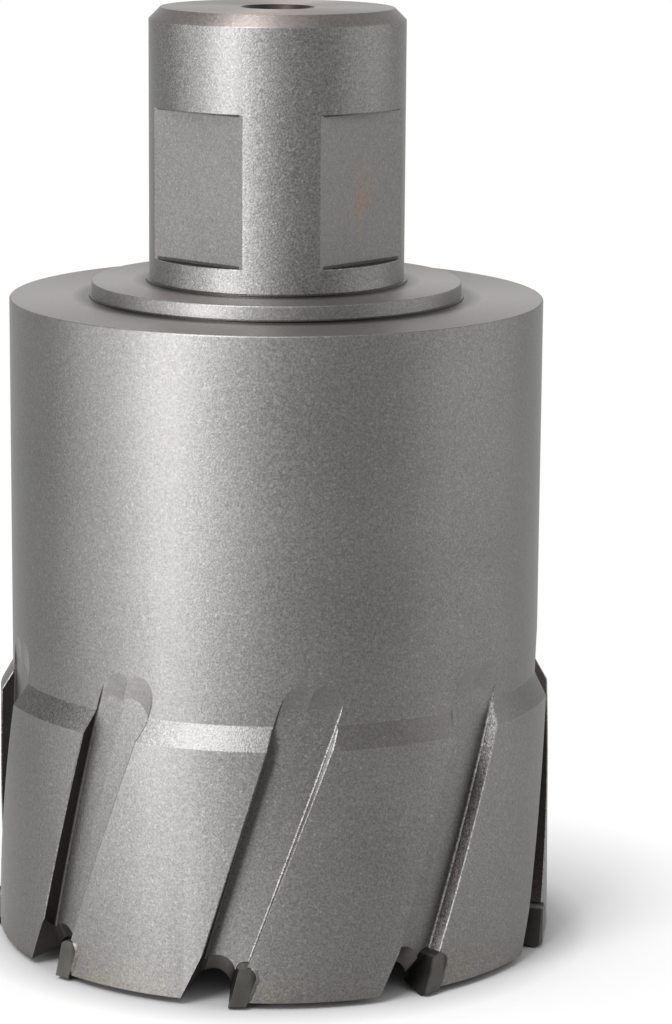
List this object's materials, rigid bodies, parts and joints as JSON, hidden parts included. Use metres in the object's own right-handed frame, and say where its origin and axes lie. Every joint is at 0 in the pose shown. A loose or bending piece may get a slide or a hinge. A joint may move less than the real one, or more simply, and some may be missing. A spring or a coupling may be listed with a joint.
{
  "type": "annular cutter",
  "caption": "Carbide-tipped annular cutter: thin-walled steel cup with helical flutes and brazed tips, on a flanged shank with flats and a pilot bore.",
  "frame": {"origin": "on the cutter's axis, in the plane that the tips' lowest points lie in", "axes": "+Z along the axis from the tips to the shank, -Y towards the middle between the two shank flats, within two degrees"},
  "size_m": [0.0709, 0.0705, 0.1172],
  "materials": {
    "steel": "matte",
    "carbide": "satin"
  },
  "bodies": {
    "root": {"cutter_body": "steel", "carbide_tip_1": "carbide", "carbide_tip_2": "carbide", "carbide_tip_3": "carbide", "carbide_tip_4": "carbide", "carbide_tip_5": "carbide", "carbide_tip_6": "carbide", "carbide_tip_7": "carbide", "carbide_tip_8": "carbide", "carbide_tip_9": "carbide"}
  },
  "joints": []
}
